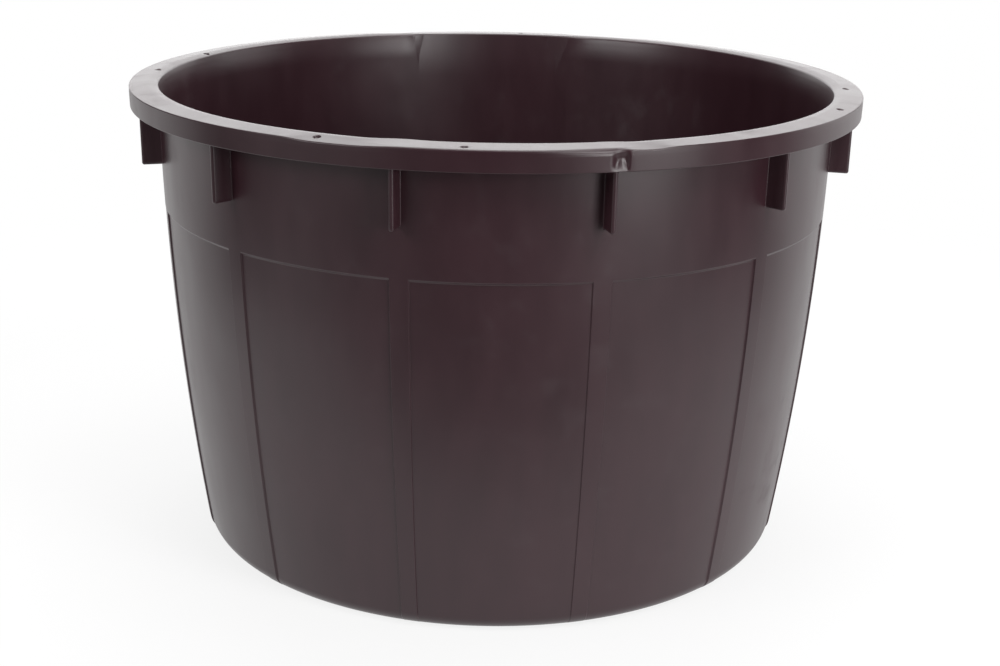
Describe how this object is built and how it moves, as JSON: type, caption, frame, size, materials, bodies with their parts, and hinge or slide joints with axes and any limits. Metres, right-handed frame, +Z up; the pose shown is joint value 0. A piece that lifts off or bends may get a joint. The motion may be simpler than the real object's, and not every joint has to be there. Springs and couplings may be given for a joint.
{
  "type": "round tub",
  "caption": "Large round open tub with a bowed wall of recessed panels, a flanged rim turned down into a skirt and braced by gussets, and rounded hand grips at front and back.",
  "frame": {"origin": "centre of the base, on the ground plane", "axes": "+Z up along the tub's axis, -Y towards the front grip, +X to the right seen from the front"},
  "size_m": [1.1, 1.1, 0.705],
  "materials": {
    "tub_plastic": "satin, dark aubergine-brown moulded polyethylene"
  },
  "bodies": {
    "root": {"tub_floor": "tub_plastic", "wall_panel_01": "tub_plastic", "wall_panel_02": "tub_plastic", "wall_panel_03": "tub_plastic", "wall_panel_04": "tub_plastic", "wall_panel_05": "tub_plastic", "wall_panel_06": "tub_plastic", "wall_panel_07": "tub_plastic", "wall_panel_08": "tub_plastic", "wall_panel_09": "tub_plastic", "wall_panel_10": "tub_plastic", "wall_panel_11": "tub_plastic", "wall_panel_12": "tub_plastic", "wall_strip_01": "tub_plastic", "wall_strip_02": "tub_plastic", "wall_strip_03": "tub_plastic", "wall_strip_04": "tub_plastic", "wall_strip_05": "tub_plastic", "wall_strip_06": "tub_plastic", "wall_strip_07": "tub_plastic", "wall_strip_08": "tub_plastic", "wall_strip_09": "tub_plastic", "wall_strip_10": "tub_plastic", "wall_strip_11": "tub_plastic", "wall_strip_12": "tub_plastic", "upper_band": "tub_plastic", "rim_flange_left": "tub_plastic", "rim_flange_right": "tub_plastic", "rim_skirt_left": "tub_plastic", "rim_skirt_right": "tub_plastic", "front_grip": "tub_plastic", "back_grip": "tub_plastic", "gusset_01": "tub_plastic", "gusset_02": "tub_plastic", "gusset_03": "tub_plastic", "gusset_04": "tub_plastic", "gusset_05": "tub_plastic", "gusset_06": "tub_plastic", "gusset_07": "tub_plastic", "gusset_08": "tub_plastic", "gusset_09": "tub_plastic", "gusset_10": "tub_plastic", "gusset_11": "tub_plastic", "gusset_12": "tub_plastic"}
  },
  "joints": []
}
